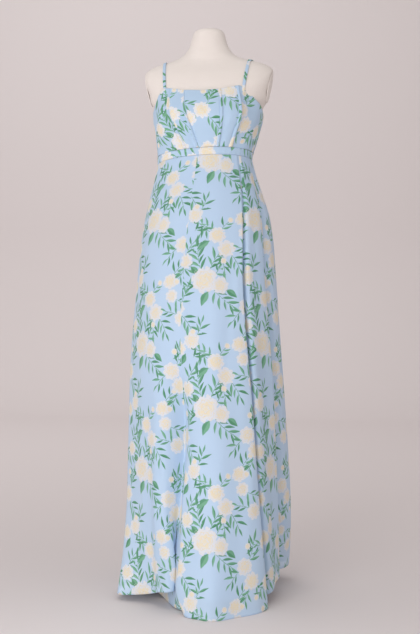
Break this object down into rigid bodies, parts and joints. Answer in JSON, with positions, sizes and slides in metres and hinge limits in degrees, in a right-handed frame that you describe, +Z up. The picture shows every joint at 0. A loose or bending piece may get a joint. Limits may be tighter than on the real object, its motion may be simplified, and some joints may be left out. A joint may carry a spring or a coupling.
{
  "type": "maternity maxi dress on a dress form",
  "caption": "Floor-length maternity dress with thin straps, a tucked bodice, a narrow band under the bust and a loose draped skirt over a lining, worn by a limbless dress form on a stand.",
  "frame": {"origin": "centre of the stand's round foot, on the floor", "axes": "+Z up along the pole to the neck; the front of the dress faces -Y and its wearer's left is +X"},
  "size_m": [0.4699, 0.5413, 1.5952],
  "materials": {
    "printed_cloth": "sheer printed chiffon, matte",
    "lining": "plain woven lining, matte",
    "form_cover": "cream woven cover, matte",
    "stand": "satin grey paint"
  },
  "bodies": {
    "root": {"bodice_front": "printed_cloth", "bodice_back": "printed_cloth", "waistband_front": "printed_cloth", "waistband_back": "printed_cloth", "strap_left": "printed_cloth", "strap_right": "printed_cloth", "skirt_front": "printed_cloth", "skirt_back": "printed_cloth", "lining_front": "lining", "lining_back": "lining", "form_torso": "form_cover", "form_arm_plate_left": "form_cover", "form_arm_plate_right": "form_cover", "stand_pole": "stand", "stand_base": "stand"}
  },
  "joints": []
}
